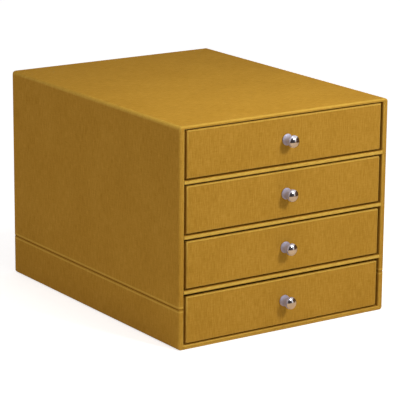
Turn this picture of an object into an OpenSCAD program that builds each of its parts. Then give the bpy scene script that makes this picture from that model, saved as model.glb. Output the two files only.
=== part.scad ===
// A desktop drawer unit of covered board.
// A wrapped case stands on a shallow wrapped tray, the two meet in a rounded seam,
// and wrapped shelves on guide strips carry drawers that slide out to the front.
// Millimetres. +Z is up, the front faces -Y and the origin is the centre of the underside.
// Bays, shelves and drawers are counted from the top.

/* [Case] */
// Width over the side walls
case_w = 258; // [220:1:320]
// Depth from the front edges to the back
case_d = 331; // [240:1:380]
// Thickness of a side wall with its covering
wall_t = 6; // [5:0.1:8]
// Thickness of the top with its covering
top_t = 3.4; // [3.4:0.1:6]
// Thickness of the base with its covering
base_t = 4.8; // [4.2:0.1:7]
// Thickness of the back with its covering
back_t = 4.5; // [3:0.1:6]
// Height of the lower tray, where the seam runs round the case
seam_h = 42.5; // [25:0.5:50]

/* [Bays] */
// Height of the highest bay
bay_h = 51.2; // [40:0.1:90]
// How much taller each bay is than the one above it
bay_step = 0.4; // [0:0.1:2]
// Thickness of a shelf with its covering
shelf_t = 4.2; // [3.6:0.1:6]

/* [Covering] */
// Thickness of the linen-faced paper
cover_t = 0.5; // [0.3:0.05:0.7]
// How far the paper turns in behind a front edge
turn_in = 14; // [8:1:20]
// Width of the turned-in paper under the base
base_rim = 16; // [10:1:30]
// Radius of the front and back edges of the top and the base
edge_r = 2; // [1.2:0.1:2]
// Radius of the upright edges and of the long edges above and below the side walls
corner_r = 3.4; // [2:0.1:3.8]
// Radius of the edges round the mouth of each bay
mouth_r = 1.3; // [0.9:0.1:1.4]
// Radius of the edges on both sides of the seam
seam_r = 1.3; // [0.9:0.1:2]

/* [Drawer] */
// Thickness of the drawer front with its covering
front_t = 4; // [3:0.1:6]
// Thickness of the board in the drawer's bottom, sides and back
tray_board_t = 2; // [1.5:0.1:3]
// How much lower the drawer's sides are than its front
side_drop = 2; // [0:0.5:20]
// How much higher the front's lower edge is than the drawer's bottom
front_lift = 1.3; // [0.8:0.1:2]
// Radius of the edges of the drawer front
front_r = 1.5; // [0.9:0.1:1.8]
// Radius of the drawer's rim and outer corners
rim_r = 1; // [0.8:0.1:1.2]
// Thickness of the sheet that lines the drawer's floor
lining_t = 0.5; // [0.2:0.05:1]

/* [Clearances] */
// Gap under a drawer, over the shelf that it slides on
run_gap = 0.3; // [0.2:0.05:1]
// Gap over the drawer front in the highest bay
head_gap = 1.2; // [0.5:0.1:2]
// Gap between the drawer and the guide strip on each side
guide_gap = 0.6; // [0.3:0.1:1.5]
// Gap between the drawer front and the side wall on each side
reveal = 3; // [2:0.1:5]
// How far the drawer front stands back from the front edges of the case
set_back = 0.4; // [0:0.1:2]
// Gap behind a closed drawer
rear_gap = 1.5; // [0.5:0.1:5]
// Radial gap of the screw in the holes of the drawer front
hole_gap = 0.3; // [0.1:0.05:0.5]
// Radial gap of the screw in the knob
thread_gap = 0.05; // [0.02:0.01:0.1]

/* [Knob] */
// Height of the knob above the drawer's bottom
knob_z = 26.3; // [15:0.1:30]
// Radius of the knob's head
knob_r = 6.2; // [5.5:0.1:8]
// How far the knob's tip stands in front of the drawer
knob_l = 15.9; // [14:0.1:20]
// Radius of the rounded edge of the knob's head
knob_edge_r = 3.4; // [1:0.1:3.6]
// Radius of the low dome on the knob's tip
dome_r = 9; // [8.5:0.1:14]
// Radius of the knob's foot
foot_r = 5.9; // [5.4:0.1:8]
// Radius of the edge between the knob's foot and the drawer
foot_edge_r = 1; // [0.5:0.1:1.3]
// Radius of the knob at its waist
waist_r = 4.8; // [3.5:0.1:5.3]
// How far the waist stands in front of the drawer
waist_out = 5.6; // [5:0.1:7]
// Radius of the hollow that makes the waist
hollow_r = 9; // [6:0.1:12]

/* [Knob fixing] */
// Radius of the screw's shank
screw_r = 1.9; // [1.5:0.05:2.5]
// How far the screw reaches into the knob
screw_in = 7; // [5:0.5:9]
// Radius of the screw's head
head_r = 3.6; // [3:0.1:4.5]
// Height of the screw's head
head_h = 2.2; // [1.5:0.1:3]
// Width of the cross recess in the screw's head
recess_w = 0.8; // [0.5:0.1:1]
// Depth of the cross recess
recess_d = 1.2; // [0.5:0.1:1.3]
// Radius of the washer
washer_r = 5.5; // [5:0.1:7]
// Thickness of the washer
washer_t = 0.8; // [0.5:0.1:1.2]

/* [Hidden] */
$fn = 64;
DRAWERS = 4;
SHELVES = DRAWERS - 1;
// How far a cut reaches past the piece that it cuts
OVER = 1;
linen_colour = [0.68, 0.50, 0.18];
board_colour = [0.55, 0.53, 0.50];
paper_colour = [0.85, 0.82, 0.74];
metal_colour = [0.75, 0.75, 0.78];

CASE_PIECES = ["base_board", "base_sheet", "lower_left_board", "lower_right_board",
    "lower_back_board", "lower_cover", "top_board", "upper_left_board", "upper_right_board",
    "upper_back_board", "upper_cover", "left_guides", "right_guides"];
SHELF_PIECES = ["board", "cover"];
DRAWER_PIECES = ["front_board", "bottom_board", "left_board", "right_board", "back_board",
    "cover", "lining", "knob", "screw", "washer"];

// Heights: bay_floor(i) is the top of the shelf, or of the base, that drawer i runs on.
bays_h = DRAWERS * bay_h + bay_step * DRAWERS * (DRAWERS - 1) / 2;
case_h = base_t + bays_h + SHELVES * shelf_t + top_t;
function bay_height(i) = bay_h + bay_step * (i - 1);
function bay_floor(i) = i == 0 ? case_h - top_t + shelf_t : bay_floor(i - 1) - shelf_t - bay_height(i);
function bay_ceiling(i) = bay_floor(i) + bay_height(i);

// Planes of the case
wall_in = case_w / 2 - wall_t;
wall_board_in = wall_in + cover_t;
case_front = -case_d / 2;
back_in = case_d / 2 - back_t;
guide_front = case_front + turn_in;
top_board_low = case_h - top_t + cover_t;
base_board_top = base_t - cover_t;

// Planes of a drawer
drawer_x = wall_in - reveal;
guide_in = drawer_x + guide_gap;
drawer_h = bay_h - run_gap - head_gap;
tray_h = drawer_h - side_drop;
front_y = case_front + set_back;
front_board_back = front_y + front_t - cover_t;
front_in = front_y + front_t;
tray_front = front_board_back - cover_t;
drawer_back = back_in - rear_gap;
side_t = tray_board_t + 2 * cover_t;
tray_floor = cover_t + tray_board_t;
hole_r = screw_r + hole_gap;
function drawer_z(i) = bay_floor(i) + run_gap;

// ---- Shapes that the pieces share ----

// A rectangle with a radius at each corner, counted anticlockwise from the low corner.
module soft_rect(low, high, radii) {
    corners = [low, [high.x, low.y], high, [low.x, high.y]];
    difference() {
        translate(low) square(high - low);
        for (k = [0:3]) {
            if (radii[k] > 0) {
                translate(corners[k]) rotate(90 * k) difference() {
                    translate([-OVER, -OVER]) square(radii[k] + OVER);
                    translate([radii[k], radii[k]]) circle(r = radii[k]);
                }
            }
        }
    }
}

// A bar along X with its outline in Y and Z.
module bar_x(x_low, x_high) {
    translate([x_low, 0, 0]) rotate([90, 0, 90]) linear_extrude(x_high - x_low) children();
}

// A bar along Y with its outline in X and Z.
module bar_y(y_low, y_high) {
    translate([0, y_high, 0]) rotate([90, 0, 0]) linear_extrude(y_high - y_low) children();
}

// A bar along Z with its outline in X and Y.
module bar_z(z_low, z_high) {
    translate([0, 0, z_low]) linear_extrude(z_high - z_low) children();
}

// A plain block from corner to corner.
module block(low, high) {
    translate(low) cube(high - low);
}

// A block with rounded edges, which are given as the corner radii of its three outlines.
module soft_block(low, high, plan_r, front_r, side_r) {
    intersection() {
        bar_z(low.z, high.z) soft_rect([low.x, low.y], [high.x, high.y], plan_r);
        bar_y(low.y, high.y) soft_rect([low.x, low.z], [high.x, high.z], front_r);
        bar_x(low.x, high.x) soft_rect([low.y, low.z], [high.y, high.z], side_r);
    }
}

// ---- The case: each outline is the covered one at inset 0 and the bare board at inset cover_t ----

// A part of the outer form of the case. The outlines from the front and from the side take
// the radii of their lower two and upper two corners.
module case_form(z_low, z_high, front_radii, side_radii, inset) {
    corner = corner_r - inset;
    front_outline = [for (r = front_radii) r - inset];
    side_outline = [for (r = side_radii) r - inset];
    soft_block(
        [-case_w / 2 + inset, -case_d / 2 + inset, z_low + inset],
        [case_w / 2 - inset, case_d / 2 - inset, z_high - inset],
        [corner, corner, corner, corner],
        front_outline,
        side_outline
    );
}

module upper_form(inset) {
    case_form(
        seam_h, case_h,
        [seam_r, seam_r, corner_r, corner_r],
        [seam_r, seam_r, edge_r, edge_r],
        inset
    );
}

module lower_form(inset) {
    case_form(
        0, seam_h,
        [corner_r, corner_r, seam_r, seam_r],
        [edge_r, edge_r, seam_r, seam_r],
        inset
    );
}

// A side wall over the full height of the case, with its rounded front edge.
module wall_bar(side, inset) {
    corner = corner_r - inset;
    mouth = mouth_r - inset;
    mirror([side < 0 ? 0 : 1, 0, 0]) bar_z(0, case_h)
        soft_rect(
            [-case_w / 2 + inset, case_front + inset],
            [-wall_in - inset, case_d / 2 - inset],
            [corner, mouth, 0, corner]
        );
}

module back_bar(x_in, inset) {
    block([-x_in, back_in, 0], [x_in, case_d / 2 - inset, case_h]);
}

module top_bar(inset) {
    edge = edge_r - inset;
    bar_x(-case_w / 2, case_w / 2)
        soft_rect(
            [case_front + inset, case_h - top_t + inset],
            [case_d / 2 - inset, case_h - inset],
            [mouth_r - inset, 0, edge, edge]
        );
}

module base_bar(inset) {
    edge = edge_r - inset;
    bar_x(-case_w / 2, case_w / 2)
        soft_rect(
            [case_front + inset, inset],
            [case_d / 2 - inset, base_t - inset],
            [edge, edge, 0, mouth_r - inset]
        );
}

// Everything of the case below the given height.
module below(z) {
    block([-case_w, -case_d, -OVER], [case_w, case_d, z]);
}

// Everything of the case above the given height.
module above(z) {
    block([-case_w, -case_d, z], [case_w, case_d, case_h + OVER]);
}

// The walls, base and back of the lower tray in one.
module lower_hull(inset) {
    intersection() {
        lower_form(inset);
        union() {
            wall_bar(-1, inset);
            wall_bar(1, inset);
            base_bar(inset);
            back_bar(case_w / 2, inset);
        }
    }
}

// The walls, top and back of the upper part in one.
module upper_hull(inset) {
    intersection() {
        upper_form(inset);
        union() {
            wall_bar(-1, inset);
            wall_bar(1, inset);
            top_bar(inset);
            back_bar(case_w / 2, inset);
        }
    }
}

// The room behind the turned-in paper, where the boards are left bare. Between the two heights it
// is cut into the boards' own places, so that no skin is left on them, and at the seam it ends
// at their faces, because the paper covers their rims there.
module room_cut(z_low, z_high) {
    block([-wall_board_in - OVER, guide_front, z_low], [wall_board_in + OVER, back_in + OVER, z_high]);
    block([-wall_board_in, guide_front, seam_h - OVER], [wall_board_in, back_in, seam_h + OVER]);
}

module base_board() {
    color(board_colour) intersection() {
        lower_form(cover_t);
        base_bar(cover_t);
    }
}

module base_sheet_bar(z_low, z_high) {
    x = case_w / 2 - base_rim;
    y = case_d / 2 - base_rim;
    block([-x, -y, z_low], [x, y, z_high]);
}

module base_sheet() {
    color(paper_colour) base_sheet_bar(0, cover_t);
}

module lower_side_board(side) {
    color(board_colour) intersection() {
        lower_form(cover_t);
        wall_bar(side, cover_t);
        above(base_board_top);
    }
}

module lower_left_board() {
    lower_side_board(-1);
}

module lower_right_board() {
    lower_side_board(1);
}

module lower_back_board() {
    color(board_colour) intersection() {
        lower_form(cover_t);
        back_bar(wall_board_in, cover_t);
        above(base_board_top);
    }
}

module lower_cover() {
    color(linen_colour) difference() {
        lower_hull(0);
        lower_hull(cover_t);
        base_sheet_bar(-OVER, cover_t + OVER);
        room_cut(base_t, seam_h - cover_t);
    }
}

module top_board() {
    color(board_colour) intersection() {
        upper_form(cover_t);
        top_bar(cover_t);
    }
}

module upper_side_board(side) {
    color(board_colour) intersection() {
        upper_form(cover_t);
        wall_bar(side, cover_t);
        below(top_board_low);
    }
}

module upper_left_board() {
    upper_side_board(-1);
}

module upper_right_board() {
    upper_side_board(1);
}

module upper_back_board() {
    color(board_colour) intersection() {
        upper_form(cover_t);
        back_bar(wall_board_in, cover_t);
        below(top_board_low);
    }
}

module upper_cover() {
    color(linen_colour) difference() {
        upper_hull(0);
        upper_hull(cover_t);
        room_cut(seam_h + cover_t, top_board_low + OVER);
    }
}

// The strips beside the drawers, one in each bay. They carry the shelves,
// and the lowest one bridges the seam and holds the two halves of the case together.
module guides(side) {
    color(board_colour) for (i = [1:DRAWERS]) {
        ceiling = i == 1 ? top_board_low : bay_ceiling(i);
        mirror([side < 0 ? 0 : 1, 0, 0])
            block([-wall_board_in, guide_front, bay_floor(i)], [-guide_in, back_in, ceiling]);
    }
}

module left_guides() {
    guides(-1);
}

module right_guides() {
    guides(1);
}

// Shelf i lies under bay i. Its bar may run past the ends and the back of the shelf.
module shelf_bar(i, inset, past = 0) {
    z = bay_floor(i) - shelf_t;
    nose = mouth_r - inset;
    bar_x(-wall_in - past, wall_in + past)
        soft_rect(
            [case_front + inset, z + inset],
            [back_in + past, z + shelf_t - inset],
            [nose, 0, 0, nose]
        );
}

module shelf_board(i) {
    color(board_colour) shelf_bar(i, cover_t);
}

module shelf_cover(i) {
    color(linen_colour) difference() {
        shelf_bar(i, 0);
        shelf_bar(i, cover_t, OVER);
    }
}

// ---- The drawers: drawer i runs in bay i ----

// The outer form of the whole drawer, with the front's rounded edges.
module drawer_form(i, inset) {
    front = front_r - inset;
    corner = rim_r - inset;
    soft_block(
        [-drawer_x + inset, front_y + inset, drawer_z(i) + inset],
        [drawer_x - inset, drawer_back - inset, drawer_z(i) + drawer_h - inset],
        [front, front, corner, corner],
        [corner, corner, corner, corner],
        [front, corner, 0, front]
    );
}

// The front hangs a little over the shelf, so its lower edge is higher than the drawer's bottom.
module drawer_front_bar(i, inset) {
    low = drawer_z(i) + front_lift + inset;
    high = drawer_z(i) + drawer_h - inset;
    front = front_r - inset;
    rim = rim_r - inset;
    intersection() {
        bar_x(-drawer_x, drawer_x)
            soft_rect([front_y + inset, low], [front_in - inset, high], [front, 0, rim, front]);
        bar_y(front_y, front_in)
            soft_rect([-drawer_x + inset, low], [drawer_x - inset, high], [rim, rim, rim, rim]);
    }
}

// The room under the front's lower edge.
module under_front(i, inset) {
    z = drawer_z(i);
    block([-case_w, -case_d, z - OVER], [case_w, tray_front + inset, z + front_lift + inset]);
}

module drawer_side_bar(i, side, y_low, inset) {
    z = drawer_z(i);
    rim = rim_r - inset;
    mirror([side < 0 ? 0 : 1, 0, 0]) bar_y(y_low, drawer_back)
        soft_rect(
            [-drawer_x + inset, z],
            [-drawer_x + side_t - inset, z + tray_h - inset],
            [0, 0, rim, rim]
        );
}

module drawer_back_bar(i, x_in, inset) {
    z = drawer_z(i);
    rim = rim_r - inset;
    bar_x(-x_in, x_in)
        soft_rect(
            [drawer_back - side_t + inset, z],
            [drawer_back - inset, z + tray_h - inset],
            [0, 0, rim, rim]
        );
}

module drawer_floor_bar(i, y_low) {
    z = drawer_z(i);
    block([-drawer_x, y_low, z], [drawer_x, drawer_back, z + tray_floor]);
}

// The front and the tray of the drawer in one. The bars of the tray start inside the front.
module drawer_hull(i, inset) {
    difference() {
        intersection() {
            drawer_form(i, inset);
            union() {
                drawer_front_bar(i, inset);
                drawer_side_bar(i, -1, tray_front, inset);
                drawer_side_bar(i, 1, tray_front, inset);
                drawer_back_bar(i, drawer_x, inset);
                drawer_floor_bar(i, tray_front);
            }
        }
        under_front(i, inset);
    }
}

// The room inside the drawer between two heights.
module drawer_room(i, z_low, z_high) {
    x = drawer_x - side_t;
    block([-x, front_in, z_low], [x, drawer_back - side_t, z_high]);
}

// The hole for the knob's screw, through the drawer front.
module knob_hole(i) {
    on_knob_axis(i) translate([0, 0, -front_t - OVER]) cylinder(r = hole_r, h = front_t + 2 * OVER);
}

// Puts its children on the knob's axis, with +Z out of the drawer front and 0 on its face.
module on_knob_axis(i) {
    translate([0, front_y, drawer_z(i) + knob_z]) rotate([90, 0, 0]) children();
}

module drawer_front_board(i) {
    color(board_colour) difference() {
        intersection() {
            drawer_form(i, cover_t);
            drawer_front_bar(i, cover_t);
        }
        knob_hole(i);
    }
}

module drawer_bottom_board(i) {
    color(board_colour) intersection() {
        drawer_form(i, cover_t);
        drawer_floor_bar(i, front_board_back);
    }
}

module drawer_side_board(i, side) {
    z = drawer_z(i) + tray_floor;
    color(board_colour) intersection() {
        drawer_form(i, cover_t);
        drawer_side_bar(i, side, front_board_back, cover_t);
        above(z);
    }
}

module drawer_left_board(i) {
    drawer_side_board(i, -1);
}

module drawer_right_board(i) {
    drawer_side_board(i, 1);
}

module drawer_back_board(i) {
    color(board_colour) intersection() {
        drawer_back_bar(i, drawer_x - cover_t - tray_board_t, cover_t);
        above(drawer_z(i) + tray_floor);
    }
}

module drawer_cover(i) {
    z = drawer_z(i) + tray_floor;
    color(linen_colour) difference() {
        drawer_hull(i, 0);
        drawer_hull(i, cover_t);
        drawer_room(i, z - OVER, z + OVER);
        knob_hole(i);
    }
}

module drawer_lining(i) {
    z = drawer_z(i) + tray_floor;
    color(paper_colour) drawer_room(i, z, z + lining_t);
}

module drawer_knob(i) {
    color(metal_colour) on_knob_axis(i) difference() {
        rotate_extrude() {
            difference() {
                union() {
                    soft_rect([0, 0], [foot_r, waist_out], [0, foot_edge_r, 0, 0]);
                    intersection() {
                        soft_rect([0, waist_out], [knob_r, knob_l], [0, 0, knob_edge_r, 0]);
                        translate([0, knob_l - dome_r]) circle(r = dome_r);
                    }
                }
                translate([waist_r + hollow_r, waist_out]) circle(r = hollow_r);
            }
        }
        translate([0, 0, -OVER]) cylinder(r = screw_r + thread_gap, h = screw_in + 2 * OVER);
    }
}

module drawer_washer(i) {
    color(metal_colour) on_knob_axis(i) translate([0, 0, -front_t - washer_t]) difference() {
        cylinder(r = washer_r, h = washer_t);
        translate([0, 0, -OVER]) cylinder(r = hole_r, h = washer_t + 2 * OVER);
    }
}

module drawer_screw(i) {
    under_head = -front_t - washer_t;
    color(metal_colour) on_knob_axis(i) difference() {
        union() {
            translate([0, 0, under_head]) cylinder(r = screw_r, h = screw_in - under_head);
            translate([0, 0, under_head - head_h]) cylinder(r = head_r, h = head_h);
        }
        for (turn = [0, 90]) {
            translate([0, 0, under_head - head_h - OVER]) rotate(turn)
                translate([-head_r / 2, -recess_w / 2, 0]) cube([head_r, recess_w, recess_d + OVER]);
        }
    }
}

// ---- The pieces in place ----

base_board();
base_sheet();
lower_left_board();
lower_right_board();
lower_back_board();
lower_cover();
top_board();
upper_left_board();
upper_right_board();
upper_back_board();
upper_cover();
left_guides();
right_guides();
for (i = [1:SHELVES]) {
    shelf_board(i);
    shelf_cover(i);
}
for (i = [1:DRAWERS]) {
    drawer_front_board(i);
    drawer_bottom_board(i);
    drawer_left_board(i);
    drawer_right_board(i);
    drawer_back_board(i);
    drawer_cover(i);
    drawer_lining(i);
    drawer_knob(i);
    drawer_screw(i);
    drawer_washer(i);
}
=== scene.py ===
# %% [markdown]
# # A desktop drawer unit of covered board
# The real unit is a stack of thin grey boards, glued up and wrapped in linen-faced paper, with
# four drawers that slide out over shelves. It could be modelled here from nothing, but the packed
# CAD model already says where every board, cover, knob and screw is. So it is loaded as a fixed
# frame, and this lesson dresses it: the covers and knobs are made again with finer edges, and
# everything else gets a finish.

# %% Load the frame
import itertools
import math

import bmesh
import bpy
from mathutils import Color, Matrix, Vector


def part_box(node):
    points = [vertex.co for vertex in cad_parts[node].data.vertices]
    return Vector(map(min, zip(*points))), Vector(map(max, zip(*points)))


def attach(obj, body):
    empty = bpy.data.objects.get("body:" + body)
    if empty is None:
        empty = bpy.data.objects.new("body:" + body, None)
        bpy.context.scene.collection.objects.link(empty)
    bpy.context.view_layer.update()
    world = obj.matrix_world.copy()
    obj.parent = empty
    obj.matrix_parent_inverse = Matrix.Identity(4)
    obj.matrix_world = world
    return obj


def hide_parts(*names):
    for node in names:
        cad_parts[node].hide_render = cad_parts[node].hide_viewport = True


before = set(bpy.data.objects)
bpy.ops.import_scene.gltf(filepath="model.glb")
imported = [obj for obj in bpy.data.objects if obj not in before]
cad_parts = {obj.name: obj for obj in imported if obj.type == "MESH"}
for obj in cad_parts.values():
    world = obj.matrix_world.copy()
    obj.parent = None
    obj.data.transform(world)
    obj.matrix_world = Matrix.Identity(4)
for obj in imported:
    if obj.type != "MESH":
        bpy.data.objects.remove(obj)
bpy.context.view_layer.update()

# %% [markdown]
# ## Sizes
# Every main plane is read off the frame, so a cover can't drift away from its board. Only the
# radii of the soft edges are written here, because a box has no radius to measure.

# %% Planes of the case
MM = 0.001
DRAWERS = 4
SHELVES = DRAWERS - 1


def mm(length):
    """A length in millimetres, for printing."""
    return round(length / MM, 2)


upper_low, upper_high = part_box("upper_cover")
top_board_low, top_board_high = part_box("top_board")
HALF_W, BACK_Y, CASE_H = upper_high
FRONT_Y, SEAM_Z = upper_low.y, upper_low.z
COVER_T = CASE_H - top_board_high.z
WALL_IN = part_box("shelf_1_cover")[1].x
BOARD_IN = WALL_IN + COVER_T
TOP_IN = top_board_low.z - COVER_T
BASE_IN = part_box("base_board")[1].z + COVER_T
SHEET_X, SHEET_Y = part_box("base_sheet")[1].xy
TURN_Y, ROOM_BACK_Y = [corner.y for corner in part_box("left_guides")]
print("case mm:", mm(2 * HALF_W), mm(BACK_Y - FRONT_Y), mm(CASE_H))

# %% Radii of the soft edges
CORNER_R = 2.3 * MM  # upright corners of the case
TOP_SIDE_R = 4.2 * MM  # long edges of the top
BASE_SIDE_R = 3.4 * MM  # long edges of the underside
EDGE_R = 2.0 * MM  # front and back edges of both
MOUTH_R = 1.3 * MM  # round the opening, and the shelves' noses
SEAM_R = 1.3 * MM  # lips of the seam
FRONT_R = 1.5 * MM  # round a drawer's front
RIM_R = 1.0 * MM  # other edges of a drawer
SKIN_T = 0.4 * MM
print("the paper is", mm(SKIN_T), "mm thick, in a gap of", mm(COVER_T))

# %% [markdown]
# ## Camera
# A long lens a couple of metres away keeps the box nearly free of perspective, where a short lens
# close by would splay its sides. The camera stands to the left of the front and a little above the
# top, and leans half a degree. Its place could be three bare coordinates, but three turns and a
# distance say more.

# %% Camera
AZIMUTH = math.radians(-34.139)
ELEVATION = math.radians(14.585)
ROLL = math.radians(0.436)
ASIDE = 6.03 * MM
RISE = -12.60 * MM
DISTANCE = 2.3391
LENS_MM = 196.389
SENSOR_MM = 36.0
NEAREST, FARTHEST = 0.1, 20.0


def new_object(name, data):
    made = bpy.data.objects.new(name, data)
    bpy.context.scene.collection.objects.link(made)
    return made


def make_camera():
    data = bpy.data.cameras.new("camera")
    data.sensor_width = SENSOR_MM
    data.lens = LENS_MM
    data.clip_start, data.clip_end = NEAREST, FARTHEST
    camera = new_object("camera", data)
    stand = Matrix.Rotation(AZIMUTH, 3, "Z")
    tilt = Matrix.Rotation(math.pi / 2 - ELEVATION, 3, "X")
    turned = stand @ tilt @ Matrix.Rotation(ROLL, 3, "Z")
    middle = Vector((0, 0, CASE_H / 2))
    camera.location = middle + turned @ Vector((ASIDE, RISE, DISTANCE))
    camera.rotation_euler = turned.to_euler()
    bpy.context.scene.camera = camera
    return camera


camera = make_camera()
print("camera at", [round(v, 3) for v in camera.location], "m, lens", LENS_MM, "mm")

# %% [markdown]
# ## Shader nodes in code
# A material is a small graph of nodes, which could be drawn by hand in the Shader Editor. In code
# it is the same on every run, and a few helpers keep it short: one adds a node and feeds it, one
# makes a material from its shader's inputs, and the others stand for nodes that come back in
# several finishes.

# %% Helpers for node graphs
def add_node(tree, kind, inputs=None, **settings):
    """Adds a node. Its inputs go by name or number, and each takes a node (which stands for its
    first output), a socket or a plain value."""
    node = tree.nodes.new(kind)
    for name, value in settings.items():
        setattr(node, name, value)
    for key, value in (inputs or {}).items():
        if isinstance(value, bpy.types.Node):
            value = value.outputs[0]
        if isinstance(value, bpy.types.NodeSocket):
            tree.links.new(value, node.inputs[key])
        else:
            node.inputs[key].default_value = value
    return node


def make_material(name, inputs_of):
    """A material whose shader takes the inputs that a function of its tree gives."""
    material = bpy.data.materials.new(name)
    material.use_nodes = True
    tree = material.node_tree
    tree.nodes.clear()
    skin = add_node(tree, "ShaderNodeBsdfPrincipled", inputs_of(tree))
    add_node(tree, "ShaderNodeOutputMaterial", {"Surface": skin})
    print("material:", name, "with", len(tree.nodes), "nodes")
    return material


def calc(tree, operation, a, b=0.0, c=0.0):
    """One step of arithmetic."""
    return add_node(tree, "ShaderNodeMath", {0: a, 1: b, 2: c}, operation=operation)


print("materials in the frame:", len(bpy.data.materials))

# %% Helpers for numbers and colours
def linear(red, green, blue):
    """A colour as it looks on a screen, 0 to 255, as the linear values of a shader."""
    on_screen = Color((red / 255, green / 255, blue / 255))
    return (*on_screen.from_srgb_to_scene_linear(), 1.0)


def span(tree, factor, start, end):
    """A number that goes from start to end as the factor goes from 0 to 1."""
    return calc(tree, "MULTIPLY_ADD", factor, end - start, start)


def weighted(tree, layers, base=0.0):
    """The base and every layer times its weight, summed."""
    for layer, weight in layers:
        base = calc(tree, "MULTIPLY_ADD", layer, weight, base)
    return base


def mix(tree, factor, first, second):
    """Goes from the first colour to the second as the factor goes from 0 to 1."""
    inputs = {"Factor": factor, 6: first, 7: second}
    return add_node(tree, "ShaderNodeMix", inputs, data_type="RGBA").outputs[2]


def ramp(tree, factor, *stops):
    """A colour that runs through stops, each one a position and a colour."""
    node = add_node(tree, "ShaderNodeValToRGB", {"Fac": factor})
    elements = node.color_ramp.elements
    elements[0].position, elements[0].color = stops[0]
    elements[1].position, elements[1].color = stops[-1]
    for position, colour in stops[1:-1]:
        elements.new(position).color = colour
    return node


print("mid grey 128 is", round(linear(128, 128, 128)[0], 3), "in linear light")

# %% Helpers for place, noise and relief
def own_place(tree):
    """A point's place in its piece's own space, in metres."""
    return add_node(tree, "ShaderNodeTexCoord").outputs["Object"]


def written(tree, name):
    """A value that was written on the mesh, point by point."""
    return add_node(tree, "ShaderNodeAttribute", attribute_name=name).outputs["Fac"]


def noise(tree, where, scale, detail, distortion=0.0):
    return add_node(tree, "ShaderNodeTexNoise", {
        "Vector": where, "Scale": scale, "Detail": detail, "Distortion": distortion,
    })


def axes(tree, vector):
    """A vector's parts, by the names X, Y and Z."""
    return add_node(tree, "ShaderNodeSeparateXYZ", {"Vector": vector}).outputs


def relief(tree, height, strength, depth):
    inputs = {"Height": height, "Strength": strength, "Distance": depth}
    return add_node(tree, "ShaderNodeBump", inputs)


print("noise of scale 100 has clouds of", mm(0.01), "mm")

# %% [markdown]
# ## Studio
# The unit stands on a pale floor in a pale room. A white room could light it from all sides, but
# then nothing would throw a shadow. So the room looks white to the camera and in polished metal
# but gives only a third of that light, and the floor's glow reaches only the camera. A soft lamp
# in front and above gives the knobs their shadow, a second one lights the top, and a third one
# fills the left side.

# %% Floor
FLOOR_HALF = 4.0
FLOOR_DROP = 0.2 * MM
FLOOR_GLOW = 0.68
SQUARE = [(-1, -1), (1, -1), (1, 1), (-1, 1)]
WHITE = (1.0, 1.0, 1.0, 1.0)
# painted reflection: the floor shows this warm cream only in polished metal, where it tints the
# knobs' lower side
FLOOR_REFLECTION_TINT = linear(222, 190, 152)


def stage_card(name, corners, material):
    """A flat card that belongs to the studio and not to the unit."""
    mesh = bpy.data.meshes.new(name)
    mesh.from_pydata(corners, [], [(0, 1, 2, 3)])
    mesh.materials.append(material)
    card = new_object(name, mesh)
    return card


def floor_inputs(tree):
    grain = noise(tree, own_place(tree), scale=9.0, detail=3.0)
    path = add_node(tree, "ShaderNodeLightPath").outputs
    tone = ramp(tree, grain, (0.0, linear(236, 236, 236)), (1.0, linear(242, 242, 242)))
    return {
        # in reflections the floor turns warm cream, a painted reflection
        "Base Color": mix(tree, path["Is Glossy Ray"], tone, FLOOR_REFLECTION_TINT),
        "Roughness": 0.9,
        "Specular IOR Level": 0.1,
        "Emission Color": WHITE,
        "Emission Strength": calc(tree, "MULTIPLY", path["Is Camera Ray"], FLOOR_GLOW),
    }


corners = [(x * FLOOR_HALF, y * FLOOR_HALF, -FLOOR_DROP) for x, y in SQUARE]
floor = stage_card("floor", corners, make_material("floor_card", floor_inputs))
print("floor:", floor.name, "half side", FLOOR_HALF, "m")

# %% World
AMBIENT = 0.36
ROOM_TINT = (1.02, 0.985, 0.98, 1.0)


def make_world():
    world = bpy.data.worlds.new("studio")
    bpy.context.scene.world = world
    world.use_nodes = True
    tree = world.node_tree
    tree.nodes.clear()
    path = add_node(tree, "ShaderNodeLightPath").outputs
    seen = calc(tree, "MAXIMUM", path["Is Camera Ray"], path["Is Glossy Ray"])
    room = add_node(tree, "ShaderNodeBackground", {
        "Color": mix(tree, seen, ROOM_TINT, WHITE),
        "Strength": span(tree, seen, AMBIENT, 1.0),
    })
    add_node(tree, "ShaderNodeOutputWorld", {"Surface": room})


make_world()
print("the room gives", AMBIENT, "of full light from every side")

# %% Lamps
def make_lamp(name, place, target, size, watts, tone):
    data = bpy.data.lights.new(name, "AREA")
    data.shape = "RECTANGLE"
    data.size, data.size_y = size
    data.energy = watts
    data.color = tone
    lamp = new_object(name, data)
    lamp.location = place
    lamp.rotation_euler = (Vector(place) - Vector(target)).to_track_quat("Z", "Y").to_euler()
    return lamp


lamps = [
    make_lamp("key_lamp", place=(0.14, -0.885, 0.66), target=(0.0, -0.165, 0.11),
              size=(0.14, 0.16), watts=4.1, tone=(0.97, 0.99, 1.03)),
    make_lamp("top_lamp", place=(0.0, -0.20, 0.66), target=(0.0, -0.10, 0.2),
              size=(0.30, 0.16), watts=1.27, tone=(0.97, 1.05, 0.92)),
    make_lamp("left_lamp", place=(-1.10, 0.06, 0.22), target=(0.0, 0.0, 0.10),
              size=(0.30, 0.30), watts=1.32, tone=(1.0, 0.93, 0.98)),
]
print("lamps in watts:", {lamp.name: round(lamp.data.energy, 2) for lamp in lamps})
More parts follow.
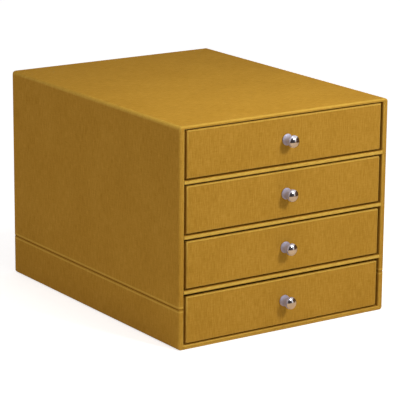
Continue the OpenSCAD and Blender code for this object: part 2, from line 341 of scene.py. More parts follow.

# %% Cards that paint reflections in the polished metal
def make_reflection_card(name, place, size, tone):
    """A glowing upright card, faced to the drawers, that shows only in polished metal: a painted
    reflection of its own tone.
    """
    material = make_material(name, lambda tree: {
        "Base Color": (0, 0, 0, 1), "Roughness": 1.0, "Specular IOR Level": 0.0,
        "Emission Color": tone, "Emission Strength": 1.0,
    })
    turn = math.atan2(place[0], FRONT_Y - place[1])
    set_up = Matrix.Translation(place) @ Matrix.Rotation(turn, 4, "Z")
    corners = [set_up @ Vector((x * size[0] / 2, 0, y * size[1] / 2)) for x, y in SQUARE]
    card = stage_card(name, corners, material)
    card.visible_camera = card.visible_diffuse = card.visible_shadow = False
    return card


# painted reflections in the knobs: a dark card in front, a brown one on the right and a pale one
# above
reflection_cards = [
    make_reflection_card("front_reflection_card", place=(-0.22, -0.72, 0.31), size=(1.0, 0.62),
              tone=linear(62, 56, 58)),
    make_reflection_card("right_reflection_card", place=(0.58, -0.38, 0.24), size=(0.86, 0.48),
              tone=linear(92, 68, 46)),
    make_reflection_card("upper_reflection_card", place=(-0.36, -0.72, 1.12), size=(1.0, 0.9),
              tone=linear(166, 156, 166)),
]
print("cards:", [card.name for card in reflection_cards])

# %% [markdown]
# ## Linen paper
# The covering is paper with a woven linen face. Its threads are spun unevenly, so thick slubs show
# as fine streaks along the sheet, and a fainter set crosses them. Plain noise on the piece's
# coordinates would run straight through an edge. The pattern has to follow the sheet round it, so
# it reads a UV map in metres instead: u runs across the streaks and v along them.

# %% Colours and threads of the linen
OCHRE = linear(176, 129, 45)
OCHRE_DARK = linear(146, 101, 29)
OCHRE_LIGHT = linear(203, 155, 66)
# paler ochre for edges that are worn and also carry a painted highlight
OCHRE_WEAR_AND_HIGHLIGHT = linear(228, 190, 88)
# darker ochre for painted shade in the seam and round the shelves' noses
OCHRE_PAINTED_SHADE = linear(104, 66, 16)
THREAD_MM = 0.45
THREAD_DRIFT_MM, THREAD_DRIFT = 3.0, 2.2
SLUB_MM = (1.3, 11.0)
WARP_MM = (THREAD_MM, 5.0)
WEFT_MM = (9.0, 0.7)
CLOUD_MM = (38.0, 55.0)


def streaks(tree, where, size_mm, detail=2.0):
    """Noise from 0 to 1, stretched into streaks of about that size across and along."""
    sized = add_node(tree, "ShaderNodeMapping", {
        "Vector": where, "Scale": (1 / (size_mm[0] * MM), 1 / (size_mm[1] * MM), 1.0),
    })
    return add_node(tree, "ShaderNodeTexNoise", {
        "Vector": sized, "Scale": 1.0, "Detail": detail, "Roughness": 0.55,
    }, noise_dimensions="2D")


def thread_weave(tree, where):
    """Threads passing over and under each other, 1 on a thread's back and 0 between threads."""
    place = axes(tree, where)
    turns = math.pi / (THREAD_MM * MM)
    wander = streaks(tree, where, (THREAD_DRIFT_MM, THREAD_DRIFT_MM))
    drift = calc(tree, "MULTIPLY", wander, THREAD_DRIFT)
    backs = []
    for way in ("X", "Y"):
        wave = calc(tree, "SINE", calc(tree, "MULTIPLY_ADD", place[way], turns, drift))
        backs.append(calc(tree, "ABSOLUTE", wave))
    return calc(tree, "MULTIPLY", calc(tree, "ADD", *backs), 0.5)


print("slubs are about", SLUB_MM[0], "mm wide and", SLUB_MM[1], "mm long")

# %% The tone of the linen
def linen_tone(tree, sheet):
    """Colour, thread height and slubs of the linen, from a place on the sheet."""
    slubs = streaks(tree, sheet, SLUB_MM, detail=3.0)
    warp, weft, cloud = [streaks(tree, sheet, size) for size in (WARP_MM, WEFT_MM, CLOUD_MM)]
    weave = thread_weave(tree, sheet)
    contrasts = ((slubs, 0.58), (warp, 0.32), (weft, 0.36), (cloud, 0.18), (weave, 0.18))
    # with every layer at its middle, 0.5, the shade is 0.5 as well
    base = 0.5 - sum(0.5 * contrast for layer, contrast in contrasts)
    shade = weighted(tree, contrasts, base)
    tone = ramp(tree, shade, (0.0, OCHRE_DARK), (0.5, OCHRE), (1.0, OCHRE_LIGHT))
    height = weighted(tree, ((slubs, 0.9), (weave, 0.6), (warp, 0.5)))
    return tone, height, slubs


print("ochre in linear light:", [round(v, 3) for v in OCHRE[:3]])

# %% The bands along the seam
LIP_OUT = 2.4 * MM  # from the seam to the middle of each lip
BAND_HALF = 1.25 * MM


def seam_bands(tree):
    """The painted shade in the case's seam, and the lips beside it, which are worn pale and also
    carry a painted highlight, each from 0 to 1.
    """
    height = axes(tree, own_place(tree))["Z"]
    on_case = written(tree, "on_case")

    def apart(value, middle):
        return calc(tree, "ABSOLUTE", calc(tree, "SUBTRACT", value, middle))

    def band(distance):
        fading = calc(tree, "MULTIPLY_ADD", distance, -1 / BAND_HALF, 1.0)
        return calc(tree, "MULTIPLY", calc(tree, "MAXIMUM", fading, 0.0), on_case)

    from_seam = apart(height, SEAM_Z)
    return band(from_seam), band(apart(from_seam, LIP_OUT))


print("the seam lies", mm(SEAM_Z), "mm up, and its lips", mm(LIP_OUT), "mm from it")

# %% The linen material
PATCH_MM = (2.0, 6.0)
# how far the lips are lightened, worn and with a painted highlight, and how dark the painted shade
# in the seam is
LIP_WEAR_HIGHLIGHT = 0.42
GROOVE_SHADE = 0.32
LINEN_SHINE = 0.008
LINEN_ROUGH = 0.84


def linen_inputs(tree):
    sheet = add_node(tree, "ShaderNodeUVMap", uv_map="sheet")
    tone, height, slubs = linen_tone(tree, sheet)
    groove, lips = seam_bands(tree)
    # the written value lightens edges, partly worn and partly a painted highlight, and below 0 it
    # darkens the paper as painted shade, as the seam does
    wear_and_light = written(tree, "edge_wear_and_light")
    patchy = span(tree, streaks(tree, sheet, PATCH_MM), 0.25, 0.85)
    rubbed_and_highlit = calc(tree, "MULTIPLY", wear_and_light, patchy)
    rubbed_and_highlit = calc(tree, "MAXIMUM", rubbed_and_highlit, calc(tree, "MULTIPLY", lips, LIP_WEAR_HIGHLIGHT))
    painted_shade = calc(tree, "MULTIPLY", wear_and_light, -1.0)
    painted_shade = calc(tree, "MAXIMUM", painted_shade, calc(tree, "MULTIPLY", groove, GROOVE_SHADE))
    return {
        "Base Color": mix(tree, painted_shade, mix(tree, rubbed_and_highlit, tone, OCHRE_WEAR_AND_HIGHLIGHT), OCHRE_PAINTED_SHADE),
        "Roughness": weighted(tree, ((slubs, -0.16), (rubbed_and_highlit, -0.22)), LINEN_ROUGH),
        "Specular IOR Level": LINEN_SHINE,
        "Normal": relief(tree, height, strength=0.55, depth=0.12 * MM),
    }


linen = make_material("linen_paper", linen_inputs)

# %% [markdown]
# ## Grey board
# The boards are pressed from waste paper. A sawn or cut face shows short fibres, dark and light
# specks and faint clouds. The frame's own meshes have no UV map to carry a pattern, so this one
# reads Object coordinates, which are metres in the mesh's own space and suit a material that is
# the same all through.

# %% Grey board
FIBRE_SCALE = (900.0, 250.0, 900.0)
SPECK_SIZE, SPECK_STRENGTH = 0.13, 0.45


def greyboard_inputs(tree):
    place = own_place(tree)
    along = add_node(tree, "ShaderNodeMapping", {"Vector": place, "Scale": FIBRE_SCALE})
    fibres = noise(tree, along, scale=1.0, detail=4.0, distortion=1.2)
    cloud = noise(tree, place, scale=40.0, detail=4.0)
    shade = weighted(tree, ((fibres, 0.5), (cloud, 0.5)))
    pulp = ramp(tree, shade, (0.25, linear(112, 107, 99)), (0.75, linear(160, 154, 143)))
    specks = add_node(tree, "ShaderNodeTexVoronoi", {"Vector": place, "Scale": 620.0})
    speck = calc(tree, "LESS_THAN", specks, SPECK_SIZE)
    faint = calc(tree, "MULTIPLY", speck, SPECK_STRENGTH)
    return {
        "Base Color": mix(tree, faint, pulp, linear(72, 66, 60)),
        "Roughness": span(tree, fibres, 0.93, 0.83),
        "Specular IOR Level": 0.15,
        "Normal": relief(tree, fibres, strength=0.4, depth=0.1 * MM),
    }


greyboard = make_material("greyboard", greyboard_inputs)

# %% [markdown]
# ## Lining paper
# A smooth off-white sheet lies in each drawer and under the base. One flat colour would make it
# look like plastic. Real paper has clouds where the pulp lay thicker, and a fine tooth that takes
# the shine off, and two noises of very different scale are enough for both.

# %% Lining paper
def lining_paper_inputs(tree):
    place = own_place(tree)
    pulp = noise(tree, place, scale=130.0, detail=5.0)
    tooth = noise(tree, place, scale=2600.0, detail=2.0)
    shade = weighted(tree, ((pulp, 0.75), (tooth, 0.25)))
    stops = (0.3, linear(204, 194, 170)), (0.7, linear(219, 211, 190))
    return {
        "Base Color": ramp(tree, shade, *stops),
        "Roughness": span(tree, tooth, 0.72, 0.84),
        "Specular IOR Level": 0.25,
        "Normal": relief(tree, tooth, strength=0.25, depth=0.05 * MM),
    }


lining_paper = make_material("lining_paper", lining_paper_inputs)

# %% [markdown]
# ## Knob metal
# The knob is turned in one piece and plated. The dome on its head is polished, and the foot and
# waist are left satin, with fine rings from the tool. Two materials would need a cut between them.
# The lathe below writes how far each point stands out from the drawer front instead, so one
# material can tell the dome from the rest.

# %% Knob metal
SATIN_END = 13.4 * MM
SATIN_TONE = linear(184, 184, 214)
RING_PITCH = 0.22 * MM
POLISHED_ROUGH = 0.14


def knob_metal_inputs(tree):
    out = written(tree, "stands_out")
    satin = calc(tree, "LESS_THAN", out, SATIN_END)
    handled = noise(tree, own_place(tree), scale=260.0, detail=4.0)
    rings = calc(tree, "SINE", calc(tree, "MULTIPLY", out, 2 * math.pi / RING_PITCH))
    turned = calc(tree, "MULTIPLY", rings, satin)
    dome = ramp(tree, handled, (0.3, linear(206, 202, 206)), (0.7, linear(226, 223, 227)))
    return {
        "Base Color": mix(tree, satin, dome, SATIN_TONE),
        "Metallic": span(tree, satin, 1.0, 0.4),
        "Roughness": weighted(tree, ((handled, 0.04), (satin, 0.42)), POLISHED_ROUGH),
        "Normal": relief(tree, turned, strength=0.12, depth=0.02 * MM),
    }


knob_metal = make_material("knob_metal", knob_metal_inputs)
print("the knob is satin up to", mm(SATIN_END), "mm out")

# %% [markdown]
# ## Screw steel
# Screws and washers are zinc-plated steel. A mirror finish would be wrong for them: zinc is dull
# and slightly uneven, so the roughness changes from place to place and the colour drifts a little
# between warm and cold grey.

# %% Screw steel
def screw_steel_inputs(tree):
    place = own_place(tree)
    zinc = noise(tree, place, scale=480.0, detail=5.0)
    grains = add_node(tree, "ShaderNodeTexVoronoi", {"Vector": place, "Scale": 1500.0})
    stops = (0.3, linear(158, 157, 152)), (0.7, linear(188, 190, 194))
    return {
        "Base Color": ramp(tree, zinc, *stops),
        "Metallic": 1.0,
        "Roughness": span(tree, zinc, 0.22, 0.52),
        "Normal": relief(tree, grains, strength=0.15, depth=0.03 * MM),
    }


screw_steel = make_material("screw_steel", screw_steel_inputs)

# %% [markdown]
# ## Forms of board
# Everything covered is made of flat boards at right angles. A pile of boxes would leave faces
# inside one another, and cutting them out with Boolean modifiers easily fails where faces
# coincide. So a form is given as a grid of cells, some full and some empty. The skin is every wall
# between a full and an empty cell: one closed mesh that shares its corners.

# %% Skin of a form made of cells
def cell_skin(xs, ys, zs, is_full):
    """A mesh of the walls between full and empty cells. is_full takes a cell's centre."""
    grid = (xs, ys, zs)
    counts = [len(line) - 1 for line in grid]

    def full(cell):
        if any(cell[k] < 0 or cell[k] >= counts[k] for k in range(3)):
            return False
        return is_full(*[(grid[k][cell[k]] + grid[k][cell[k] + 1]) / 2 for k in range(3)])

    form = bmesh.new()
    corners = {}

    def corner(key):
        if key not in corners:
            corners[key] = form.verts.new([grid[k][key[k]] for k in range(3)])
        return corners[key]

    def add_wall(cell, axis, step):
        ring = []
        for along, across in ((0, 0), (1, 0), (1, 1), (0, 1)):
            key = list(cell)
            key[axis] += step
            key[(axis + 1) % 3] += along
            key[(axis + 2) % 3] += across
            ring.append(corner(tuple(key)))
        form.faces.new(ring if step else ring[::-1])

    for cell in itertools.product(*[range(count) for count in counts]):
        for axis, step in itertools.product(range(3), (0, 1)):
            beyond = list(cell)
            beyond[axis] += 1 if step else -1
            if full(cell) and not full(beyond):
                add_wall(cell, axis, step)
    form.normal_update()
    return form


trial = cell_skin([0, 1, 2], [0, 1], [0, 1], lambda x, y, z: True)
print("two full cells have", len(trial.faces), "walls and", len(trial.verts), "corners")
trial.free()

# %% [markdown]
# ## Soft edges
# Paper can't take a sharp corner, so each outer edge is rounded, the case's outer edges most and
# the rims of the trays least. One Bevel modifier by angle would round them all alike, and one for
# each radius would meet badly at the corners. So a single modifier rounds each edge by its own
# weight, which is the edge's radius over the largest one.

# %% Rounding edges by weight
BEVEL_STEPS = 5
SHARP_ANGLE = math.radians(35)
FLAT_ANGLE = 0.01


def plain_mesh(piece):
    """Replaces a piece's mesh with what its modifiers make of it, and removes them."""
    graph = bpy.context.evaluated_depsgraph_get()
    made = bpy.data.meshes.new_from_object(piece.evaluated_get(graph), depsgraph=graph)
    made.name = piece.name
    piece.modifiers.clear()
    piece.data = made
    return piece


def rounded(name, form, radius_of, largest, is_kept):
    """Turns a form into a piece whose outer edges are rounded. radius_of takes an edge's ends.

    Lines across a flat would stop the rounding, so they go, but for those that is_kept picks."""
    across_flats = [
        edge for edge in form.edges
        if edge.calc_face_angle() < FLAT_ANGLE
        and not is_kept((edge.verts[0].co + edge.verts[1].co) / 2)
    ]
    bmesh.ops.dissolve_limit(form, angle_limit=FLAT_ANGLE, verts=form.verts, edges=across_flats)
    weights = form.edges.layers.float.new("bevel_weight_edge")
    for edge in form.edges:
        if len(edge.link_faces) == 2 and edge.calc_face_angle_signed() > SHARP_ANGLE:
            low, high = sorted(tuple(v.co) for v in edge.verts)
            edge[weights] = radius_of(Vector(low), Vector(high)) / largest
    mesh = bpy.data.meshes.new(name)
    form.to_mesh(mesh)
    form.free()
    piece = new_object(name, mesh)
    bevel = piece.modifiers.new("round_edges", "BEVEL")
    bevel.limit_method = "WEIGHT"
    bevel.width = largest
    bevel.segments = BEVEL_STEPS
    bevel.use_clamp_overlap = False
    return plain_mesh(piece)


print("each edge is rounded in", BEVEL_STEPS, "steps")

# %% [markdown]
# ## From a skin to a sheet
# The form is a skin without thickness, and a real cover is a sheet with an inside. It could be
# built as a second, smaller skin within the first, but Solidify is less work and always even. The
# skin is cut away where the board stays bare, and the rest gets the thickness of paper, inwards,
# so that the outside stays where the frame has it. Weighted normals keep the flats flat between
# their rounded edges.

# %% Cutting the skin and giving it thickness
FLAT_FACE_WEIGHT = 90


def sheet_of(piece, is_bare):
    """Removes the faces that is_bare picks by centre and normal, then thickens and smooths."""
    form = bmesh.new()
    form.from_mesh(piece.data)
    bare = [face for face in form.faces if is_bare(face.calc_center_median(), face.normal)]
    bmesh.ops.delete(form, geom=bare, context="FACES")
    form.to_mesh(piece.data)
    form.free()
    thicken = piece.modifiers.new("paper", "SOLIDIFY")
    thicken.thickness = SKIN_T
    thicken.offset = -1.0
    thicken.use_even_offset = True
    plain_mesh(piece)
    return smooth_flats(piece)


def smooth_flats(piece):
    piece.data.shade_smooth()
    piece.data.set_sharp_from_angle(angle=SHARP_ANGLE)
    even = piece.modifiers.new("even_normals", "WEIGHTED_NORMAL")
    even.keep_sharp = True
    even.weight = FLAT_FACE_WEIGHT
    return plain_mesh(piece)


print("edges stay sharp from", round(math.degrees(SHARP_ANGLE)), "degrees")

# %% [markdown]
# ## Laying the pattern on the sheet
# The UV map follows the way the paper is wrapped. Blender's own unwrapping would turn and scale
# each island as it fits, so the map is worked out here, corner by corner. On the case one sheet
# runs up the left side, over the top and down the right side, and v counts metres along that way,
# round the edges too, so the streaks bend with the paper. Beside it a value is written that
# lightens and darkens the paper: up to 1 on rounded edges, which hands rub pale and which also
# carry a painted highlight, 0 on flats, and below 0 where shade is painted.

# %% UV map, wear and painted light, finish
FLAT_SHARE = 0.97


def main_axis(normal):
    sizes = [abs(part) for part in normal]
    return sizes.index(max(sizes))


def lay_sheet(piece, place_on_sheet, shift):
    """Writes the map: place_on_sheet takes a corner, the face's centre and the face's normal."""
    mesh = piece.data
    for layer in list(mesh.uv_layers):
        mesh.uv_layers.remove(layer)
    layer = mesh.uv_layers.new(name="sheet")
    for face in mesh.polygons:
        for loop in face.loop_indices:
            corner = mesh.vertices[mesh.loops[loop].vertex_index].co
            u, v = place_on_sheet(corner, face.center, face.normal)
            layer.data[loop].uv = (u + shift[0], v + shift[1])


def write_wear_and_light(piece, wear_and_light_of, on_case=0.0):
    """Its second argument takes a point and whether it lies on a flat, and gives -1 for painted
    shade up to 1 for edges worn pale with a painted highlight.
    """
    mesh = piece.data
    sums = [Vector((0, 0, 0)) for _ in mesh.vertices]
    for face in mesh.polygons:
        for index in face.vertices:
            sums[index] += face.normal * face.area
    wear_and_light = mesh.attributes.new("edge_wear_and_light", "FLOAT", "POINT")
    case = mesh.attributes.new("on_case", "FLOAT", "POINT")
    for index, total in enumerate(sums):
        is_flat = max(abs(part) for part in total.normalized()) > FLAT_SHARE
        wear_and_light.data[index].value = wear_and_light_of(mesh.vertices[index].co, is_flat)
        case.data[index].value = on_case


def paint(piece, material):
    piece.data.materials.clear()
    piece.data.materials.append(material)
    return piece


print("a point is on a flat when its normal is", FLAT_SHARE, "along an axis")

# %% [markdown]
# ## Upper cover
# The upper part of the case is a box without a floor: two walls, a top and a back. Its paper turns
# in round the front edges and ends behind them, where the guide strips start, and behind that the
# boards are bare. One sheet could be bent into that shape step by step. The grid of cells gives
# the same skin at once, and only the bare part has to be cut away. The lower rims are rounded too,
# because there the seam shows.

# %% Which edges of the case are how round
SAME = 0.01 * MM
HAIR = 0.1 * MM
# a face lies across an axis above the first share of its normal, along it below the second
ACROSS, ALONG = 0.9, 0.5


def near(a, b):
    return abs(a - b) < SAME


def case_radius(far_z, side_r):
    """The radius of each edge of a case's half. far_z is the height of the top or underside, and
    side_r belongs to the long edges there."""
    def radius_of(low, high):
        middle = (low + high) / 2
        flat = near(low.z, high.z)
        at_side = near(abs(middle.x), HALF_W)
        at_front = near(middle.y, FRONT_Y)
        if flat and near(middle.z, SEAM_Z):
            return SEAM_R if at_side or at_front or near(middle.y, BACK_Y) else 0.0
        if at_side:
            return side_r if flat and near(middle.z, far_z) else CORNER_R
        if flat and near(middle.z, far_z):
            return EDGE_R
        return MOUTH_R if at_front else 0.0
    return radius_of


print("radii mm: top", mm(TOP_SIDE_R), "corner", mm(CORNER_R), "mouth", mm(MOUTH_R))

# %% How the case's paper is laid
FOLD_UP = 3.0 * MM
UPPER_FOLD = TOP_IN - FOLD_UP
LOWER_FOLD = BASE_IN + FOLD_UP


def on_fold(middle):
    """Whether a line lies where the paper of a wall's front edge meets that of the top or base."""
    at_fold = near(middle.z, UPPER_FOLD) or near(middle.z, LOWER_FOLD)
    return near(middle.y, FRONT_Y) and at_fold


def case_sheet(corner, centre, normal):
    axis = main_axis(normal)
    over_top = CASE_H + HALF_W + corner.x
    if axis == 0:
        climbed = corner.z if centre.x < 0 else 2 * HALF_W + 2 * CASE_H - corner.z
        return corner.y, climbed
    if axis == 2:
        return corner.y, over_top
    if centre.y > 0:
        return BACK_Y + HALF_W + corner.x, corner.z
    if centre.z > UPPER_FOLD or centre.z < LOWER_FOLD:
        return FRONT_Y - (CASE_H - corner.z), over_top
    return FRONT_Y - (HALF_W - abs(corner.x)), corner.z


print("the sheet is", mm(2 * CASE_H + 2 * HALF_W), "mm long over the case")

# %% How the case is worn, with painted highlights
# each level lightens the paper, partly as worn and partly as a painted highlight; on the flats of
# the wall fronts it is a faint painted sheen
WALL_FRONT_WEAR_HIGHLIGHT = 0.2
TOP_FRONT_WEAR_HIGHLIGHT = 0.55
SLIGHT_WEAR_HIGHLIGHT = 0.15
SIDE_WEAR_HIGHLIGHT = 0.45
MOST_WEAR_HIGHLIGHT = 0.9
# in radii: how far a rounded edge reaches, and how far down the top's rounding counts as top
REACH, FRONT_TURN, SIDE_TURN = 1.1, 0.6, 0.4


def case_wear_and_light(point, is_flat):
    if abs(point.z - SEAM_Z) < REACH * SEAM_R:
        return 0.0
    if is_flat:
        return WALL_FRONT_WEAR_HIGHLIGHT if near(point.y, FRONT_Y) and point.z < TOP_IN else 0.0
    below_top = (CASE_H - point.z) / TOP_SIDE_R
    if point.y < FRONT_Y + REACH * EDGE_R and below_top < FRONT_TURN:
        return TOP_FRONT_WEAR_HIGHLIGHT
    if below_top < REACH:
        return SLIGHT_WEAR_HIGHLIGHT if below_top < SIDE_TURN else SIDE_WEAR_HIGHLIGHT
    if abs(point.x) > HALF_W - REACH * CORNER_R:
        return SLIGHT_WEAR_HIGHLIGHT
    # the remaining rounded edges, mostly round the mouth, are lighter on the left half than on the
    # right
    return MOST_WEAR_HIGHLIGHT if point.x < 0 else SIDE_WEAR_HIGHLIGHT


print("wear at the left of the mouth:", case_wear_and_light(Vector((-WALL_IN, FRONT_Y, CASE_H / 2)), False))

# %% What both halves of the case share
def in_wall(x, y):
    """Whether a cell belongs to a wall, which in front is thicker by the paper that turns in."""
    return abs(x) > WALL_IN if y < TURN_Y else abs(x) > BOARD_IN or y > ROOM_BACK_Y


def in_room(centre):
    """Whether a face lies behind the paper that turns in, where the boards stay bare."""
    return abs(centre.x) < BOARD_IN + HAIR and TURN_Y - HAIR < centre.y < ROOM_BACK_Y + HAIR


def make_case_cover(name, form, far_z, side_r, is_kept, is_bare, shift=(0.0, 0.0)):
    piece = rounded(name, form, case_radius(far_z, side_r), side_r, is_kept)
    sheet_of(piece, is_bare)
    lay_sheet(piece, case_sheet, shift)
    write_wear_and_light(piece, case_wear_and_light, on_case=1.0)
    return paint(piece, linen)


print("the bare room behind the paper is", mm(ROOM_BACK_Y - TURN_Y), "mm deep")

# %% Upper cover
def make_upper_cover():
    xs = [-HALF_W, -BOARD_IN, -WALL_IN, WALL_IN, BOARD_IN, HALF_W]
    ys = [FRONT_Y, TURN_Y, ROOM_BACK_Y, BACK_Y]
    zs = [SEAM_Z, UPPER_FOLD, TOP_IN, TOP_IN + COVER_T, CASE_H]

    def is_full(x, y, z):
        return in_wall(x, y) or z > (TOP_IN if y < TURN_Y else TOP_IN + COVER_T)

    def is_bare(centre, normal):
        return in_room(centre) and SEAM_Z + MM < centre.z < TOP_IN + COVER_T + HAIR

    form = cell_skin(xs, ys, zs, is_full)
    return make_case_cover("upper_cover_linen", form, CASE_H, TOP_SIDE_R, on_fold, is_bare)


upper_cover = make_upper_cover()
print("upper cover:", len(upper_cover.data.polygons), "faces")

# %% [markdown]
# ## Lower cover
# Below the seam the case stands on a shallow tray that is covered on its own. Its paper turns
# under the base and leaves a window there, which the base sheet fills. A window could be cut out
# later. Here it is only more lines in the grid, and the tray is made like the upper cover, so that
# both meet the seam with the same rounded lips.

# %% Lower cover
LOWER_SHIFT = (0.013, 0.0)


def make_lower_cover():
    xs = [-HALF_W, -BOARD_IN, -WALL_IN, -SHEET_X, SHEET_X, WALL_IN, BOARD_IN, HALF_W]
    ys = [FRONT_Y, TURN_Y, -SHEET_Y, SHEET_Y, ROOM_BACK_Y, BACK_Y]
    zs = [0.0, BASE_IN, LOWER_FOLD, SEAM_Z]

    def is_full(x, y, z):
        return z < BASE_IN or in_wall(x, y)

    def is_kept(middle):
        beside_window = near(middle.z, 0.0) and abs(middle.x) < SHEET_X + HAIR
        return on_fold(middle) or beside_window

    def is_bare(centre, normal):
        in_window = abs(centre.x) < SHEET_X and abs(centre.y) < SHEET_Y and normal.z < -ACROSS
        on_wall = in_room(centre) and abs(normal.z) < ALONG and centre.z > BASE_IN + MM
        return in_window or on_wall

    form = cell_skin(xs, ys, zs, is_full)
    return make_case_cover(
        "lower_cover_linen", form, 0.0, BASE_SIDE_R, is_kept, is_bare, LOWER_SHIFT)


lower_cover = make_lower_cover()
print("lower cover:", len(lower_cover.data.polygons), "faces")

# %% [markdown]
# ## Shelf covers
# Each shelf is a board with a sheet folded round its front edge. The grid of cells could make it
# too, but the fold is one outline pulled straight along the shelf, three times over, which is work
# for Geometry Nodes: the tree draws the outline from named sizes, rounds its two front corners and
# extrudes it from wall to wall.

# %% Helpers for node trees
def start_tree(name, kind, labels):
    """A node tree that takes a geometry, a material and named inputs of one kind."""
    tree = bpy.data.node_groups.new(name, "GeometryNodeTree")
    new_socket = tree.interface.new_socket
    kinds = {"Geometry": "Geometry", "Material": "Material", **dict.fromkeys(labels, kind)}
    for label, its_kind in kinds.items():
        new_socket(name=label, in_out="INPUT", socket_type="NodeSocket" + its_kind)
    new_socket(name="Geometry", in_out="OUTPUT", socket_type="NodeSocketGeometry")
    return tree, tree.nodes.new("NodeGroupInput").outputs


def end_tree(tree, geometry, material):
    """Closes a tree: instances become real, and the material is set, as the export needs."""
    real = add_node(tree, "GeometryNodeRealizeInstances", {"Geometry": geometry})
    painted = add_node(tree, "GeometryNodeSetMaterial", {0: real, "Material": material})
    add_node(tree, "NodeGroupOutput", {0: painted})
    print("tree:", tree.name, "with", len(tree.nodes), "nodes")
    return tree


def apply_tree(piece, tree, values):
    """Puts the tree on a piece, sets its inputs by identifier and makes the result plain."""
    modifier = piece.modifiers.new(tree.name, "NODES")
    modifier.node_group = tree
    for item in tree.interface.items_tree:
        if item.in_out == "INPUT" and item.name in values:
            modifier[item.identifier] = values[item.name]
    return plain_mesh(piece)


print("node trees before the first one:", len(bpy.data.node_groups))

# %% The tree that folds a shelf's cover
def make_shelf_tree():
    tree, value = start_tree("folded_cover", "Float", (
        "Half width", "Front", "Back", "Bottom", "Top", "Nose radius"))

    def halfway(low, high, plus):
        return calc(tree, "MULTIPLY_ADD", calc(tree, "ADD", value[low], value[high]), 0.5, plus)

    outline = add_node(tree, "GeometryNodeCurvePrimitiveQuadrilateral", {
        "Width": calc(tree, "SUBTRACT", value["Back"], value["Front"]),
        "Height": calc(tree, "SUBTRACT", value["Top"], value["Bottom"]),
    })
    flat = axes(tree, add_node(tree, "GeometryNodeInputPosition"))
    in_front = calc(tree, "LESS_THAN", flat["X"], 0.0)
    soft = add_node(tree, "GeometryNodeFilletCurve", {
        0: outline, "Count": BEVEL_STEPS,
        "Radius": calc(tree, "MULTIPLY", in_front, value["Nose radius"]),
    }, mode="POLY")
    upright = add_node(tree, "ShaderNodeCombineXYZ", {
        0: calc(tree, "MULTIPLY", value["Half width"], -1.0),
        1: halfway("Back", "Front", flat["X"]),
        2: halfway("Top", "Bottom", flat["Y"]),
    })
    stood = add_node(tree, "GeometryNodeSetPosition", {
        "Geometry": soft, "Position": upright,
    })
    edge = add_node(tree, "GeometryNodeCurveToMesh", {0: stood})
    width = calc(tree, "MULTIPLY", value["Half width"], 2.0)
    pull = add_node(tree, "ShaderNodeCombineXYZ", {0: width})
    pulled = add_node(tree, "GeometryNodeExtrudeMesh", {
        "Mesh": edge, "Offset": pull, "Offset Scale": 1.0,
    }, mode="EDGES")
    return end_tree(tree, pulled, value["Material"])


shelf_tree = make_shelf_tree()

# %% Shelf covers
SHELF_SHIFT = (0.41, 0.23)
# painted shade on each nose's roundings, darker on the upper one, under the drawer above, than on
# the lower one
OVER_NOSE_SHADE, UNDER_NOSE_SHADE = -0.45, -0.2
NOSE_FADE = 3.0
WELD = 0.001 * MM


def outward(piece, inside):
    """Joins loose edges, and turns the faces over if they look towards the given point."""
    form = bmesh.new()
    form.from_mesh(piece.data)
    bmesh.ops.remove_doubles(form, verts=form.verts, dist=WELD)
    facing = sum(
        (face.calc_center_median() - inside).dot(face.normal) * face.calc_area()
        for face in form.faces
    )
    if facing < 0:
        bmesh.ops.reverse_faces(form, faces=form.faces)
    form.to_mesh(piece.data)
    form.free()


def shelf_sheet(corner, centre, normal):
    return (corner.z if main_axis(normal) == 1 else corner.y), corner.x


def make_shelf_cover(number):
    low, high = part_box(f"shelf_{number}_cover")
    piece = new_object(f"shelf_{number}_linen", bpy.data.meshes.new("host"))
    apply_tree(piece, shelf_tree, {
        "Half width": high.x, "Front": low.y, "Back": high.y, "Bottom": low.z, "Top": high.z,
        "Nose radius": MOUTH_R, "Material": linen,
    })
    outward(piece, (low + high) / 2)
    sheet_of(piece, lambda centre, normal: False)
    lay_sheet(piece, shelf_sheet, [number * part for part in SHELF_SHIFT])

    # the nose's front is lightened, partly as worn and partly as a painted highlight, and its
    # roundings are darkened as painted shade
    def nose_wear_and_light(point, is_flat):
        deep = (point.y - low.y) / MOUTH_R
        upper = point.z > (low.z + high.z) / 2
        painted_shade = OVER_NOSE_SHADE if upper else UNDER_NOSE_SHADE
        return max(1.0 - NOSE_FADE * deep, painted_shade) if deep < REACH else 0.0

    write_wear_and_light(piece, nose_wear_and_light)
    return piece


shelf_covers = {number: make_shelf_cover(number) for number in range(1, SHELVES + 1)}
print("shelf covers:", [len(piece.data.polygons) for piece in shelf_covers.values()])

# %% [markdown]
# ## Drawer covers
# A drawer is a shallow tray with a thicker front that stands a little higher than its sides. One
# sheet goes over the outside, over the rims and down inside. The bottom board is left open, since
# the lining lies there, and a hole lets the knob's screw through. A tray like this is again a grid
# of cells, with one more cell for the hole, so no cutting tool is needed.

# %% Drawer covers
HOLE_HALF = 2.2 * MM
KNOB_UP = 26.3 * MM
FRONT_LIFT = 1.3 * MM
DRAWER_SHIFT = (0.37, 0.29)
# how far a drawer's other rims are lightened, partly as worn and partly as a painted highlight
RIM_WEAR_HIGHLIGHT = 0.35


def drawer_sheet(corner, centre, normal):
    """The threads run up the front, over its top edge and along the sides."""
    axis = main_axis(normal)
    if axis == 0:
        return corner.y, corner.z
    return corner.x, corner.z if axis == 1 else corner.z + corner.y


